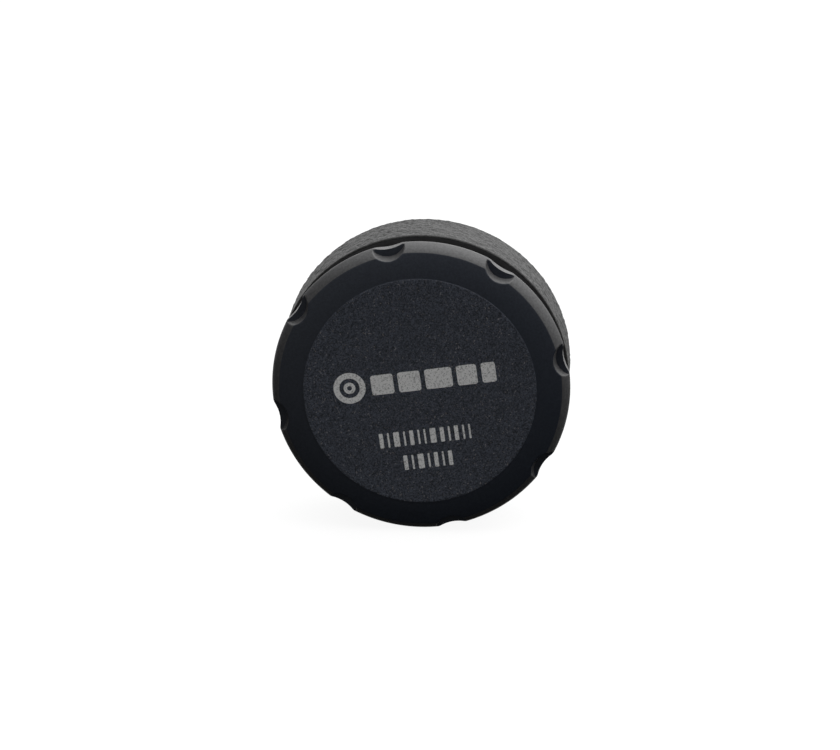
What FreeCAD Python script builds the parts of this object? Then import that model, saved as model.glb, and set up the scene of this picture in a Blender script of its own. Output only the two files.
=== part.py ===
import FreeCAD, Part
import math
import os

# External tyre pressure sensor that screws onto a valve stem.
# Every shape is drawn with its axis on +Z: z is the distance from the mouth of the valve
# thread, and the cap's face is at z = LENGTH. place() then turns +Z to the row's -Y.

# Overall
LENGTH = 16.0
CAP_R = 12.65
BODY_R = 12.45

# Screw cap
FACE_R = 9.85
FACE_STEP = 0.06
BEVEL_R = 11.98
BEVEL_Z = 15.4
BEVEL_BULGE = 0.05
EDGE_Z = 14.4
EDGE_BULGE = 0.09
CAP_REAR_R = 12.34
CAP_REAR_Z = 13.5
REAR_BULGE = 0.08
SKIRT_R = 11.6
SKIRT_END_Z = 11.15
CAP_INNER_Z = 14.5
NOTCHES = 8
NOTCH_PHASE = 102.5
SCOOP_R = 1.77
SCOOP_FLOOR_R = 11.53
SCOOP_END_Z = 14.55
SCOOP_DRAFT = 13.0
GROOVE_R = 3.1
GROOVE_FLOOR_R = 12.33
PAD_R = 7.0
PAD_Z = 14.25

# Thread between cap and housing: two starts, right-handed
LEAD = 2.0
STARTS = 2
MALE_ROOT_R = 9.5
MALE_CREST_R = 9.95
FEMALE_ROOT_R = 10.1
FEMALE_CREST_R = 9.65
RIDGE_BASE_W = 0.5
RIDGE_CREST_W = 0.2
RIDGE_Z = 12.45
MALE_RISE = 1.1
FEMALE_RISE = 1.5
EMBED = 0.1

# Face seal
RING_R = 10.45
RING_SECTION_R = 0.4
RING_Z = 11.55
SEAT_R = 10.9
SEAT_Z = 12.0

# Housing
SHOULDER_Z = 11.1
LIP_IN_R = 11.85
LIP_Z = 11.5
SPIGOT_TOP_Z = 13.9
CHAMBER_R = 8.3
FLOOR_Z = 6.4
WALL_REAR_Z = 5.7
CONE_END_R = 7.0
CONE_END_Z = 3.6
NECK_R = 6.2
NECK_END_Z = 0.4
BOSS_R = 1.4
BOSS_ANGLES = (90.0, 210.0, 330.0)
SCREW_CIRCLE_R = 6.95
SCREW_R = 0.5
SCREW_HEAD_R = 0.95
SCREW_HEAD_H = 0.5
SCREW_END_Z = 7.2
FINGER_ANGLES = (0.0, 180.0)
FINGER_W = 2.4
FINGER_SLOT_W = 3.0
FINGER_SLOT_R = 8.8

# Valve insert: minor radius of the 8V1 thread, the relief behind it and the parts at its bottom
VALVE_R = 3.45
THREAD_END_Z = 3.3
INSERT_R = 5.2
FLANGE_ACROSS_R = 6.4
FLANGE_Z = 5.0
GASKET_R = 4.0
GASKET_HOLE_R = 2.2
GASKET_Z = 4.4
GASKET_TOP_Z = 5.4
PIN_R = 0.9
PIN_HEAD_R = 1.05
PIN_HEAD_TOP_Z = 6.7
PIN_TIP_Z = 3.6
AIR_HOLES = 3
AIR_HOLE_R = 0.38
AIR_CIRCLE_R = 1.55

# Electronics
PCB_R = 8.1
PCB_REAR_Z = 9.2
PCB_FRONT_Z = 10.0
CHIP_SIDE = 7.0
CHIP_REAR_Z = 7.6
LID_SIDE = 6.2
LID_REAR_Z = 7.4
PORT_R = 0.5
SEAL_OUT_R = 3.0
SEAL_IN_R = 2.1
COIL_WIRE_R = 0.2
COIL_R = 0.85
COIL_PITCH = 0.8
COIL_TURNS = 7
COIL_Y = -5.9
COIL_Z = 8.0
LEAF_T = 0.15
LEAF_W = 3.0
HOLDER_IN_R = 5.9
HOLDER_R = 8.2
HOLDER_TOP_Z = 10.9

# Coin cell, 16 mm by 3.2 mm
CELL_R = 8.0
CELL_REAR_Z = 11.0
CELL_FRONT_Z = 14.2
CAN_T = 0.25
LID_R = 6.85

# Bulge of a quarter round, as a share of its radius
QUARTER = 1 - math.sqrt(0.5)

AXIS = FreeCAD.Vector(0, 0, 1)
ORIGIN = FreeCAD.Vector(0, 0, 0)


def v(x, y, z):
    return FreeCAD.Vector(x, y, z)


def tube(outer, inner, z0, z1):
    """Ring between two radii, or a disc if inner is 0."""
    ring = Part.makeCylinder(outer, z1 - z0, v(0, 0, z0))
    if inner > 0:
        ring = ring.cut(Part.makeCylinder(inner, z1 - z0 + 2, v(0, 0, z0 - 1)))
    return ring


def block(cx, cy, sx, sy, z0, z1):
    return Part.makeBox(sx, sy, z1 - z0, v(cx - sx / 2, cy - sy / 2, z0))


def turned(shape, degrees):
    copy = shape.copy()
    copy.rotate(ORIGIN, AXIS, degrees)
    return copy


def revolve(points):
    """Full revolution of a closed (radius, z) profile. A third value makes the way to that point
    an arc, which bulges that far to the left of the way."""
    edges = []
    last = v(points[0][0], 0, points[0][1])
    for point in points[1:] + points[:1]:
        end = v(point[0], 0, point[1])
        if len(point) == 3:
            left = v(last.z - end.z, 0, end.x - last.x).normalize()
            edges.append(Part.Arc(last, (last + end) * 0.5 + left * point[2], end).toShape())
        else:
            edges.append(Part.makeLine(last, end))
        last = end
    return Part.Face(Part.Wire(edges)).revolve(ORIGIN, AXIS, 360)


def on_circle(radius, degrees, z=0.0):
    angle = math.radians(degrees)
    return v(radius * math.cos(angle), radius * math.sin(angle), z)


def ridge(base_r, crest_r, z, rise, degrees):
    """One start of a helical thread ridge, from base_r to crest_r."""
    b = RIDGE_BASE_W / 2
    c = RIDGE_CREST_W / 2
    corners = [v(base_r, 0, -b), v(crest_r, 0, -c), v(crest_r, 0, c), v(base_r, 0, b)]
    profile = Part.makePolygon(corners + [corners[0]])
    path = Part.Wire(Part.makeHelix(LEAD, rise, base_r).Edges)
    thread = path.makePipeShell([profile], True, True)
    thread.rotate(ORIGIN, AXIS, degrees)
    thread.translate(v(0, 0, z))
    return thread


def bent_strip(path, thickness, width):
    """Sheet strip that follows a path in the XZ plane, as wide as width along Y."""
    sides = ([], [])
    for i, (x, z) in enumerate(path):
        ways = []
        if i > 0:
            ways.append((x - path[i - 1][0], z - path[i - 1][1]))
        if i < len(path) - 1:
            ways.append((path[i + 1][0] - x, path[i + 1][1] - z))
        normals = [(-dz / math.hypot(dx, dz), dx / math.hypot(dx, dz)) for dx, dz in ways]
        nx = sum(n[0] for n in normals) / len(normals)
        nz = sum(n[1] for n in normals) / len(normals)
        grow = thickness / 2 / (nx * nx + nz * nz)
        sides[0].append(v(x + nx * grow, -width / 2, z + nz * grow))
        sides[1].append(v(x - nx * grow, -width / 2, z - nz * grow))
    outline = sides[0] + sides[1][::-1]
    return Part.Face(Part.makePolygon(outline + [outline[0]])).extrude(v(0, width, 0))


def cap_blank():
    outer = [
        (0, CAP_INNER_Z),
        (0, LENGTH),
        (FACE_R, LENGTH),
        (FACE_R + 0.04, LENGTH - FACE_STEP),
        (BEVEL_R, BEVEL_Z, BEVEL_BULGE),
        (CAP_R, EDGE_Z, EDGE_BULGE),
        (CAP_REAR_R, CAP_REAR_Z + 0.06, REAR_BULGE),
        (CAP_REAR_R - 0.06, CAP_REAR_Z),
        (SKIRT_R, CAP_REAR_Z),
        (SKIRT_R, SKIRT_END_Z + 0.15),
        (SKIRT_R - 0.15, SKIRT_END_Z),
        (SEAT_R, SKIRT_END_Z),
        (SEAT_R, SEAT_Z),
        (FEMALE_ROOT_R, SEAT_Z),
        (FEMALE_ROOT_R, CAP_INNER_Z),
    ]
    return revolve(outer)


def notch_cutter():
    """Grip notch: a shallow groove across the whole edge, with a tapered scoop in its front part
    that stops at a flat end wall. The scoop's radius is given at the bevel's outer edge."""
    taper = math.tan(math.radians(SCOOP_DRAFT))
    end_r = SCOOP_R - (BEVEL_Z - SCOOP_END_Z) * taper
    height = LENGTH + 1 - SCOOP_END_Z
    scoop_start = v(SCOOP_FLOOR_R + SCOOP_R, 0, SCOOP_END_Z)
    scoop = Part.makeCone(end_r, end_r + height * taper, height, scoop_start)
    groove_start = v(GROOVE_FLOOR_R + GROOVE_R, 0, CAP_REAR_Z - 0.5)
    return scoop.fuse(Part.makeCylinder(GROOVE_R, LENGTH - CAP_REAR_Z + 1, groove_start))


def screw_cap():
    cap = cap_blank()
    cutter = notch_cutter()
    for i in range(NOTCHES):
        cap = cap.cut(turned(cutter, NOTCH_PHASE + i * 360 / NOTCHES))
    for i in range(STARTS):
        start = -90 + i * 360 / STARTS
        cap = cap.fuse(ridge(FEMALE_ROOT_R + EMBED, FEMALE_CREST_R, RIDGE_Z, FEMALE_RISE, start))
    cap = cap.fuse(tube(7.6, PAD_R + 0.05, 14.3, CAP_INNER_Z + EMBED))
    return cap


def housing_blank():
    outer = [
        (CHAMBER_R, SPIGOT_TOP_Z),
        (MALE_ROOT_R - 0.2, SPIGOT_TOP_Z),
        (MALE_ROOT_R, SPIGOT_TOP_Z - 0.2),
        (MALE_ROOT_R, SHOULDER_Z),
        (LIP_IN_R, SHOULDER_Z),
        (LIP_IN_R, LIP_Z),
        (BODY_R - 0.18, LIP_Z),
        (BODY_R, LIP_Z - 0.18, 0.18 * QUARTER),
        (BODY_R, WALL_REAR_Z + 0.5),
        (BODY_R - 0.5, WALL_REAR_Z, 0.5 * QUARTER),
        (11.2, WALL_REAR_Z - 0.05),
        (CONE_END_R + 0.1, CONE_END_Z + 0.35),
        (NECK_R, CONE_END_Z - 0.5, -0.12),
        (NECK_R, NECK_END_Z + 0.3),
        (NECK_R - 0.3, NECK_END_Z, 0.3 * QUARTER),
        (INSERT_R - 1, NECK_END_Z),
        (INSERT_R - 1, FLOOR_Z),
        (CHAMBER_R, FLOOR_Z),
    ]
    return revolve(outer)


def insert_outline():
    """Outside of the brass insert: a round barrel and a twelve-sided flange that can't turn."""
    barrel = Part.makeCylinder(INSERT_R, FLANGE_Z + EMBED)
    waist = tube(INSERT_R + 1, INSERT_R - 0.4, 2.2, 2.9)
    corners = [on_circle(FLANGE_ACROSS_R, 30 * i, FLANGE_Z) for i in range(12)]
    flange = Part.Face(Part.makePolygon(corners + [corners[0]])).extrude(v(0, 0, FLOOR_Z - FLANGE_Z))
    return barrel.cut(waist).fuse(flange)


def housing():
    shell = housing_blank()
    for angle in BOSS_ANGLES:
        spot = on_circle(SCREW_CIRCLE_R, angle, FLOOR_Z - EMBED)
        shell = shell.fuse(Part.makeCylinder(BOSS_R, PCB_REAR_Z - FLOOR_Z + EMBED, spot))
    for angle in BOSS_ANGLES:
        spot = on_circle(SCREW_CIRCLE_R, angle, SCREW_END_Z)
        shell = shell.cut(Part.makeCylinder(SCREW_R, 3, spot))
    for angle in FINGER_ANGLES:
        slot = Part.makeBox(1.8, FINGER_SLOT_W, 6, v(FINGER_SLOT_R - 1.8, -FINGER_SLOT_W / 2, 9.8))
        shell = shell.cut(turned(slot, angle))
    for i in range(STARTS):
        start = i * 360 / STARTS
        shell = shell.fuse(ridge(MALE_ROOT_R - EMBED, MALE_CREST_R, RIDGE_Z, MALE_RISE, start))
    return shell.cut(insert_outline())


def thread_insert():
    body = insert_outline()
    body = body.cut(Part.makeCylinder(VALVE_R, THREAD_END_Z + EMBED))
    body = body.cut(tube(GASKET_R, 0, THREAD_END_Z, GASKET_TOP_Z))
    body = body.cut(Part.makeCylinder(PIN_R, 3, v(0, 0, GASKET_TOP_Z - 1)))
    for i in range(AIR_HOLES):
        spot = on_circle(AIR_CIRCLE_R, 90 + i * 360 / AIR_HOLES, GASKET_TOP_Z - 1)
        body = body.cut(Part.makeCylinder(AIR_HOLE_R, 3, spot))
    return body


def valve_gasket():
    ring = tube(GASKET_R, GASKET_HOLE_R, GASKET_Z, GASKET_TOP_Z)
    bead = Part.makeTorus(2.9, 0.16, v(0, 0, GASKET_Z))
    return ring.fuse(bead.cut(tube(5, 0, GASKET_Z + 0.1, GASKET_Z + 1)))


def core_pin():
    return revolve([
        (0, PIN_TIP_Z),
        (PIN_R * 0.75, PIN_TIP_Z + 0.25, -0.075),
        (PIN_R, PIN_TIP_Z + 0.7),
        (PIN_R, FLOOR_Z),
        (PIN_HEAD_R, FLOOR_Z),
        (PIN_HEAD_R, PIN_HEAD_TOP_Z - 0.1),
        (PIN_HEAD_R - 0.1, PIN_HEAD_TOP_Z),
        (0, PIN_HEAD_TOP_Z),
    ])


def pcb():
    board = tube(PCB_R, 0, PCB_REAR_Z, PCB_FRONT_Z)
    for angle in BOSS_ANGLES:
        spot = on_circle(SCREW_CIRCLE_R, angle, PCB_REAR_Z - 1)
        board = board.cut(Part.makeCylinder(SCREW_R + 0.08, 3, spot))
    return board.cut(block(0, 8.3, 1.2, 0.9, PCB_REAR_Z - 1, PCB_FRONT_Z + 1))


def pressure_sensor_ic():
    body = block(0, 0, CHIP_SIDE, CHIP_SIDE, CHIP_REAR_Z, PCB_REAR_Z - 0.05)
    body = body.makeChamfer(0.18, [e for e in body.Edges if e.BoundBox.ZLength > 1])
    for side in (-1, 1):
        for i in range(6):
            at = -2.5 + i * 1.0
            body = body.fuse(block(side * 3.45, at, 0.3, 0.4, PCB_REAR_Z - 0.3, PCB_REAR_Z))
            body = body.fuse(block(at, side * 3.45, 0.4, 0.3, PCB_REAR_Z - 0.3, PCB_REAR_Z))
    return body


def sensor_lid():
    plate = block(0, 0, LID_SIDE, LID_SIDE, LID_REAR_Z, CHIP_REAR_Z)
    plate = plate.makeFillet(0.5, [e for e in plate.Edges if e.BoundBox.ZLength > 0.15])
    return plate.cut(Part.makeCylinder(PORT_R, 2, v(0, 0, LID_REAR_Z - 1)))


def crystal():
    base = block(-5.55, 1.2, 2.2, 3.2, PCB_REAR_Z - 0.3, PCB_REAR_Z)
    lid = block(-5.55, 1.2, 1.9, 2.9, PCB_REAR_Z - 0.75, PCB_REAR_Z - 0.3)
    lid = lid.makeFillet(0.2, [e for e in lid.Edges if e.BoundBox.ZLength > 0.4])
    return base.fuse(lid)


def antenna_coil():
    """Wound wire antenna on the board's rear with two legs soldered to it."""
    length = COIL_PITCH * COIL_TURNS
    helix = Part.Wire(Part.makeHelix(COIL_PITCH, length, COIL_R).Edges)
    section = Part.Wire(Part.makeCircle(COIL_WIRE_R, v(COIL_R, 0, 0), v(0, 1, 0)))
    coil = helix.makePipeShell([section], True, True)
    coil.rotate(ORIGIN, v(0, 1, 0), 90)
    coil.rotate(ORIGIN, v(1, 0, 0), 180)
    coil.translate(v(-length / 2, COIL_Y, COIL_Z))
    leg_h = PCB_REAR_Z - COIL_Z - COIL_R
    for x in (-length / 2, length / 2):
        leg = Part.makeCylinder(COIL_WIRE_R, leg_h, v(x, COIL_Y, PCB_REAR_Z - leg_h))
        ball = Part.makeSphere(COIL_WIRE_R, v(x, COIL_Y, COIL_Z + COIL_R))
        coil = coil.fuse(leg).fuse(ball)
    return coil


def chips(spots, sx, sy, height, cap_w):
    """Two-terminal parts on the board's rear, each a body with end terminals a little taller."""
    rows = []
    for x, y, angle in spots:
        body = block(0, 0, sx, sy, PCB_REAR_Z - height, PCB_REAR_Z - 0.02)
        for side in (-1, 1):
            at = side * (sx - cap_w) / 2
            end = block(at, 0, cap_w, sy + 0.04, PCB_REAR_Z - height - 0.02, PCB_REAR_Z)
            body = body.fuse(end)
        body = turned(body, angle)
        body.translate(v(x, y, 0))
        rows.append(body)
    return Part.makeCompound(rows)


def smd_capacitors():
    spots = [(4.7, 2.7, 90), (5.6, 2.7, 90), (6.5, 2.2, 90), (-2.6, 4.9, 0), (-4.3, 4.9, 0)]
    return chips(spots, 1.0, 0.5, 0.5, 0.25)


def smd_resistors():
    return chips([(4.7, 1.0, 90), (5.6, 1.0, 90), (2.6, 4.9, 0), (4.3, 4.6, 0)], 1.0, 0.5, 0.35, 0.2)


def smd_inductors():
    return chips([(4.9, -1.0, 90), (-4.4, -1.45, 90)], 1.6, 0.8, 0.8, 0.35)


def negative_contact():
    """Leaf that rises from the board's centre and presses on the cell's lid."""
    low = PCB_FRONT_Z + LEAF_T / 2
    high = CELL_REAR_Z - 0.05 - LEAF_T / 2
    path = [(-5.2, low), (-3.4, low), (-1.0, high - 0.15), (0.4, high), (1.4, high - 0.1), (2.4, high - 0.5)]
    leaf = bent_strip(path, LEAF_T, LEAF_W)
    return leaf.cut(Part.makeBox(3.4, 0.5, 3, v(-0.6, -0.25, PCB_FRONT_Z + 0.2)))


def positive_contacts():
    """Two spring fingers that touch the side of the cell's can."""
    low = PCB_FRONT_Z + LEAF_T / 2
    near = CELL_R + 0.05 + LEAF_T / 2
    path = [(6.7, low), (8.25, low), (8.4, low + 0.3), (8.45, 11.6), (near, 12.6), (near + 0.25, 13.4)]
    finger = bent_strip(path, LEAF_T, FINGER_W)
    return Part.makeCompound([turned(finger, angle) for angle in FINGER_ANGLES])


def cell_holder():
    """Insulating ring on the board that the cell sits on."""
    ring = tube(HOLDER_R, HOLDER_IN_R, PCB_FRONT_Z, HOLDER_TOP_Z)
    for angle in BOSS_ANGLES:
        spot = on_circle(SCREW_CIRCLE_R, angle, PCB_FRONT_Z - 1)
        ring = ring.cut(Part.makeCylinder(SCREW_HEAD_R + 0.15, 3, spot))
    for angle in FINGER_ANGLES:
        gap = block(8.1, 0, 3.4, FINGER_SLOT_W, PCB_FRONT_Z - 1, HOLDER_TOP_Z + 1)
        ring = ring.cut(turned(gap, angle))
    return ring


def pcb_screws():
    screws = []
    for angle in BOSS_ANGLES:
        spot = on_circle(SCREW_CIRCLE_R, angle)
        shank = Part.makeCylinder(SCREW_R, PCB_FRONT_Z - SCREW_END_Z, spot + v(0, 0, SCREW_END_Z))
        head = Part.makeCylinder(SCREW_HEAD_R, SCREW_HEAD_H, spot + v(0, 0, PCB_FRONT_Z))
        head = head.makeFillet(0.15, [e for e in head.Edges if e.BoundBox.ZMin > PCB_FRONT_Z + 0.4])
        top = PCB_FRONT_Z + SCREW_HEAD_H
        screw = shank.fuse(head)
        for turn in (0, 90):
            cross = turned(block(0, 0, 1.1, 0.24, top - 0.25, top + 1), turn)
            cross.translate(spot)
            screw = screw.cut(cross)
        screws.append(screw)
    return Part.makeCompound(screws)


def solder_joints():
    """Solder at the finger feet, the leaf's foot and the ends of the coil's legs."""
    joints = []
    foot_z = PCB_FRONT_Z + LEAF_T
    for angle in FINGER_ANGLES:
        bead = Part.makeCone(0.75, 0.35, 0.18, v(7.25, 0, foot_z))
        joints.append(turned(bead, angle))
    joints.append(Part.makeCone(0.75, 0.35, 0.18, v(-4.5, 0, foot_z)))
    leg = Part.makeCylinder(COIL_WIRE_R, 2)
    for x in (-1, 1):
        spot = v(x * COIL_PITCH * COIL_TURNS / 2, COIL_Y, PCB_REAR_Z - 0.3)
        ring = Part.makeCone(COIL_WIRE_R + 0.06, 0.5, 0.3, spot)
        wire = leg.copy()
        wire.translate(spot - v(0, 0, 1))
        joints.append(ring.cut(wire))
    return Part.makeCompound(joints)


def cell_can():
    """Positive can: flat front, side wall and an edge crimped in over the gasket."""
    rear = CELL_REAR_Z + 0.2
    return revolve([
        (0, CELL_FRONT_Z),
        (0, CELL_FRONT_Z - CAN_T),
        (CELL_R - CAN_T, CELL_FRONT_Z - CAN_T),
        (CELL_R - CAN_T, rear + CAN_T + 0.15),
        (CELL_R - CAN_T - 0.35, rear + CAN_T),
        (CELL_R - CAN_T - 0.35, rear),
        (CELL_R - 0.45, rear),
        (CELL_R, rear + 0.45, -0.45 * QUARTER),
        (CELL_R, CELL_FRONT_Z - 0.4),
        (CELL_R - 0.4, CELL_FRONT_Z, -0.4 * QUARTER),
    ])


def cell_lid():
    """Negative lid: raised disc with a turned skirt inside the gasket."""
    z = CELL_REAR_Z
    return revolve([
        (0, z),
        (LID_R - 0.5, z),
        (LID_R, z + 0.5, -0.5 * QUARTER),
        (LID_R, z + 0.9),
        (LID_R + 0.3, z + 0.9),
        (LID_R + 0.3, z + 2.2),
        (LID_R + 0.1, z + 2.2),
        (LID_R + 0.1, z + 1.1),
        (LID_R - 0.2, z + 1.1),
        (LID_R - 0.2, z + 0.5),
        (LID_R - 0.6, z + 0.2),
        (0, z + 0.2),
    ])


def cell_gasket():
    z = CELL_REAR_Z
    ring = revolve([
        (LID_R, z + 0.25),
        (CELL_R - CAN_T - 0.35, z + 0.25),
        (CELL_R - CAN_T - 0.35, z + 0.45),
        (CELL_R - CAN_T, z + 0.6),
        (CELL_R - CAN_T, z + 2.5),
        (LID_R + 0.3, z + 2.5),
        (LID_R + 0.3, z + 0.9),
        (LID_R, z + 0.9),
    ])
    return ring.cut(cell_can()).cut(cell_lid())


def cell_cathode():
    return tube(LID_R - 0.3, 0, 12.6, CELL_FRONT_Z - CAN_T)


def cell_anode():
    return tube(LID_R - 0.7, 0, CELL_REAR_Z + 0.2, 12.3)


def o_ring():
    return Part.makeTorus(RING_R, RING_SECTION_R, v(0, 0, RING_Z))


def cap_pad():
    return tube(PAD_R, 0, PAD_Z, CAP_INNER_Z)


def port_seal():
    return tube(SEAL_OUT_R, SEAL_IN_R, FLOOR_Z, LID_REAR_Z)


def place(shape):
    """Turns the drawing axis +Z to the row's -Y, with the drawing's +Y up."""
    moved = shape.copy()
    moved.rotate(ORIGIN, v(1, 0, 0), 90)
    return moved


NODES = {
    "screw_cap": screw_cap,
    "cap_pad": cap_pad,
    "o_ring": o_ring,
    "housing": housing,
    "thread_insert": thread_insert,
    "valve_gasket": valve_gasket,
    "core_pin": core_pin,
    "port_seal": port_seal,
    "pcb": pcb,
    "pressure_sensor_ic": pressure_sensor_ic,
    "sensor_lid": sensor_lid,
    "crystal": crystal,
    "antenna_coil": antenna_coil,
    "smd_capacitors": smd_capacitors,
    "smd_resistors": smd_resistors,
    "smd_inductors": smd_inductors,
    "negative_contact": negative_contact,
    "positive_contacts": positive_contacts,
    "cell_holder": cell_holder,
    "solder_joints": solder_joints,
    "pcb_screws": pcb_screws,
    "cell_can": cell_can,
    "cell_lid": cell_lid,
    "cell_gasket": cell_gasket,
    "cell_cathode": cell_cathode,
    "cell_anode": cell_anode,
}

os.makedirs("parts", exist_ok=True)
for node, build in NODES.items():
    shape = place(build())
    shape.exportStep("parts/" + node + ".step")
    box = shape.BoundBox
    print(node, len(shape.Solids), shape.isValid(), round(shape.Volume, 2),
          [round(c, 2) for c in (box.XMin, box.YMin, box.ZMin, box.XMax, box.YMax, box.ZMax)])
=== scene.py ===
import math

import bpy
import numpy as np
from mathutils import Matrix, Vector, noise


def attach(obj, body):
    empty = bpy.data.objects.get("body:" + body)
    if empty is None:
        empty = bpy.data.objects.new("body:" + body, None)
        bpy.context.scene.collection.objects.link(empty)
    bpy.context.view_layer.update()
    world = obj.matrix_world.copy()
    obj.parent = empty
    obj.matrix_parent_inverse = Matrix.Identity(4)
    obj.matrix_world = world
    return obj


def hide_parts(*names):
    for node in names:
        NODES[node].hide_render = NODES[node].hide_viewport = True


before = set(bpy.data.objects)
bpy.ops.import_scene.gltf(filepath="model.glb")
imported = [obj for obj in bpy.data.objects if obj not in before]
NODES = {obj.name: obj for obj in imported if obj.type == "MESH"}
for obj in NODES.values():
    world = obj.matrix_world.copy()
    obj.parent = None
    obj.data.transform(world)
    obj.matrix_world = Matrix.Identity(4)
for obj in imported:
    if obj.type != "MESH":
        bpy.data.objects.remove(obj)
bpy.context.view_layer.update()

# Every profile below is in millimetres as (radius, a): a is the distance from the mouth of
# the valve thread along the axis, so the frame's y is -a. Angles run from +X towards +Z.
MM = 0.001

# Cap
LENGTH = 16.0
CAP_R = 12.65
FACE_R = 9.85
BEVEL_R = 11.98
BEVEL_A = 15.4
BEVEL_BULGE = 0.05
EDGE_A = 14.4
EDGE_BULGE = 0.09
CAP_REAR_R = 12.34
CAP_REAR_A = 13.5
REAR_BULGE = 0.08
SKIRT_R = 11.6
SKIRT_END_A = 11.15
SEAT_R = 10.9
SEAT_A = 12.0
CEILING_A = 14.5
RIB_OUT_R = 7.6
RIB_IN_R = 7.05
RIB_A = 14.3

# Grip notches of the cap
NOTCHES = 8
NOTCH_PHASE = 102.5
SCOOP_R = 1.77
SCOOP_FLOOR_R = 11.53
SCOOP_END = 14.55
SCOOP_TAPER = math.tan(math.radians(13.0))
GROOVE_R = 3.1
GROOVE_FLOOR_R = 12.33
LIP_SOFT = 0.06
END_WALL_SOFT = 0.05
PUSHED_MIN = 0.05
NOTCHED_FROM_R = 10.4

# Thread between cap and housing
LEAD = 2.0
MALE_ROOT_R = 9.5
MALE_CREST_R = 9.95
FEMALE_ROOT_R = 10.1
FEMALE_CREST_R = 9.65
RIDGE_BASE = 0.5
RIDGE_CREST = 0.2
RIDGE_A = 12.45

# Housing
BODY_R = 12.45
WALL_FRONT_A = 11.32
WALL_REAR_A = 6.2
SPIGOT_TOP_A = 13.9
SHOULDER_A = 11.1
LIP_IN_R = 11.85
LIP_A = 11.5
BACK_A = 5.7
BACK_BULGE = 0.146
CONE_START = (11.1, 5.609)
CONE_END = (7.1, 3.95)
NECK_R = 6.2
NECK_START_A = 3.1
NECK_END_A = 0.4
CHAMBER_R = 8.3
FLOOR_A = 6.4
FINGER_SLOT_R = 8.8
FINGER_SLOT_A = 9.8
FINGER_SLOT_HALF = math.radians(10.3)
POST_R = 1.4
POST_TOP_A = 9.2
POST_HOLE_R = 0.5
POST_HOLE_A = 7.2
POST_CIRCLE_R = 6.95
POST_ANGLES = (90, 210, 330)

# Relief of the body's wall, as (waves per millimetre, height, offset in the noise)
STIPPLE = (
    (0.95, 0.040, (0.0, 0.0, 0.0)),
    (2.3, 0.050, (7.1, 3.3, 1.9)),
    (4.6, 0.040, (1.7, 9.2, 4.4)),
)

# Brass insert with its valve thread
INSERT_R = 5.2
FLANGE_R = 6.2
FLANGE_A = 5.0
MOUTH_R = 3.96
MOUTH_A = 0.46
VALVE_R = 3.45
THREAD_END_A = 3.3
THREAD_PITCH = 25.4 / 32
THREAD_H = 0.40
GASKET_R = 4.0
GASKET_TOP_A = 5.4
PIN_R = 0.9
WEB_R = 1.95
AIR_HOLES = 3
AIR_HOLE_R = 0.38
AIR_CIRCLE_R = 1.55

# Marks on the disc: a badge and blocks, as (x, width), in one row, then two rows of narrow, middle
# and wide bars, as (z, first x, kinds)
MARK_TILT = math.radians(8.0)
MARK_PROUD = 0.006
MARK_SUNK = 0.02
BAND_Z = 1.02
BADGE_X = -5.85
BLOCK_H = 1.75
BLOCKS = ((-3.05, 1.9), (-0.75, 1.9), (1.75, 2.3), (4.15, 1.7), (6.0, 1.2))
BAR_H = 1.3
BAR_GAP = 0.36
BAR_WIDTHS = {"n": 0.16, "m": 0.34, "w": 0.5}
BAR_ROWS = ((-3.95, -4.0, "mnwnmnnwmnmnn"), (-6.1, -2.2, "mnwnmnm"))


# Mesh helpers

def line(p, q, n):
    """n points from p towards q, without q."""
    return [(p[0] + (q[0] - p[0]) * i / n, p[1] + (q[1] - p[1]) * i / n) for i in range(n)]


def bow(p, q, bulge, n):
    """n points from p towards q, without q, on an arc that bulges to the left of the way."""
    dr, da = q[0] - p[0], q[1] - p[1]
    chord = math.hypot(dr, da)
    half = 2 * math.atan(2 * bulge / chord)
    radius = chord / 2 / math.sin(half)
    painted_glints = []
    for i in range(n):
        angle = half * (2 * i / n - 1)
        along = 0.5 + radius * math.sin(angle) / chord
        out = radius * (math.cos(angle) - math.cos(half)) / chord
        painted_glints.append((p[0] + dr * along - da * out, p[1] + da * along + dr * out))
    return painted_glints


def link(name, verts, faces, materials, face_slots=None, sharp=35.0):
    """Makes an object from vertices in millimetres in the frame."""
    mesh = bpy.data.meshes.new(name)
    mesh.from_pydata((np.asarray(verts) * MM).tolist(), [], faces)
    for m in materials:
        mesh.materials.append(m)
    mesh.polygons.foreach_set("use_smooth", [True] * len(mesh.polygons))
    if face_slots is not None:
        mesh.polygons.foreach_set("material_index", face_slots)
    mesh.update()
    mesh.set_sharp_from_angle(angle=math.radians(sharp))
    obj = bpy.data.objects.new(name, mesh)
    bpy.context.scene.collection.objects.link(obj)
    return obj


def lathe(profile, thetas, shape, closed):
    """Vertices and faces of a turned solid. shape(r, a, theta) moves the points of a column.
    A closed profile is a loop off the axis. An open one starts and ends on the axis."""
    thetas = np.asarray(thetas)
    pts = np.asarray(profile)
    if closed:
        ring = pts
    else:
        ring = pts[1:-1]
    n, m = len(thetas), len(ring)
    r = np.repeat(ring[None, :, 0], n, axis=0)
    a = np.repeat(ring[None, :, 1], n, axis=0)
    t = np.repeat(thetas[:, None], m, axis=1)
    x, z, a = shape(r, a, t)
    verts = np.stack([x, -a, z], axis=-1).reshape(-1, 3)
    faces = []
    rows = m if closed else m - 1
    for i in range(n):
        here, there = i * m, ((i + 1) % n) * m
        for j in range(rows):
            k = (j + 1) % m
            faces.append((here + j, here + k, there + k, there + j))
    if not closed:
        first, last = len(verts), len(verts) + 1
        verts = np.vstack([verts, [[0, -pts[0][1], 0], [0, -pts[-1][1], 0]]])
        for i in range(n):
            here, there = i * m, ((i + 1) % n) * m
            faces.append((first, here, there))
            faces.append((last, there + m - 1, here + m - 1))
    return verts, faces


def plain(r, a, t):
    """Leaves a turned surface round."""
    return r * np.cos(t), r * np.sin(t), a


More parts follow.
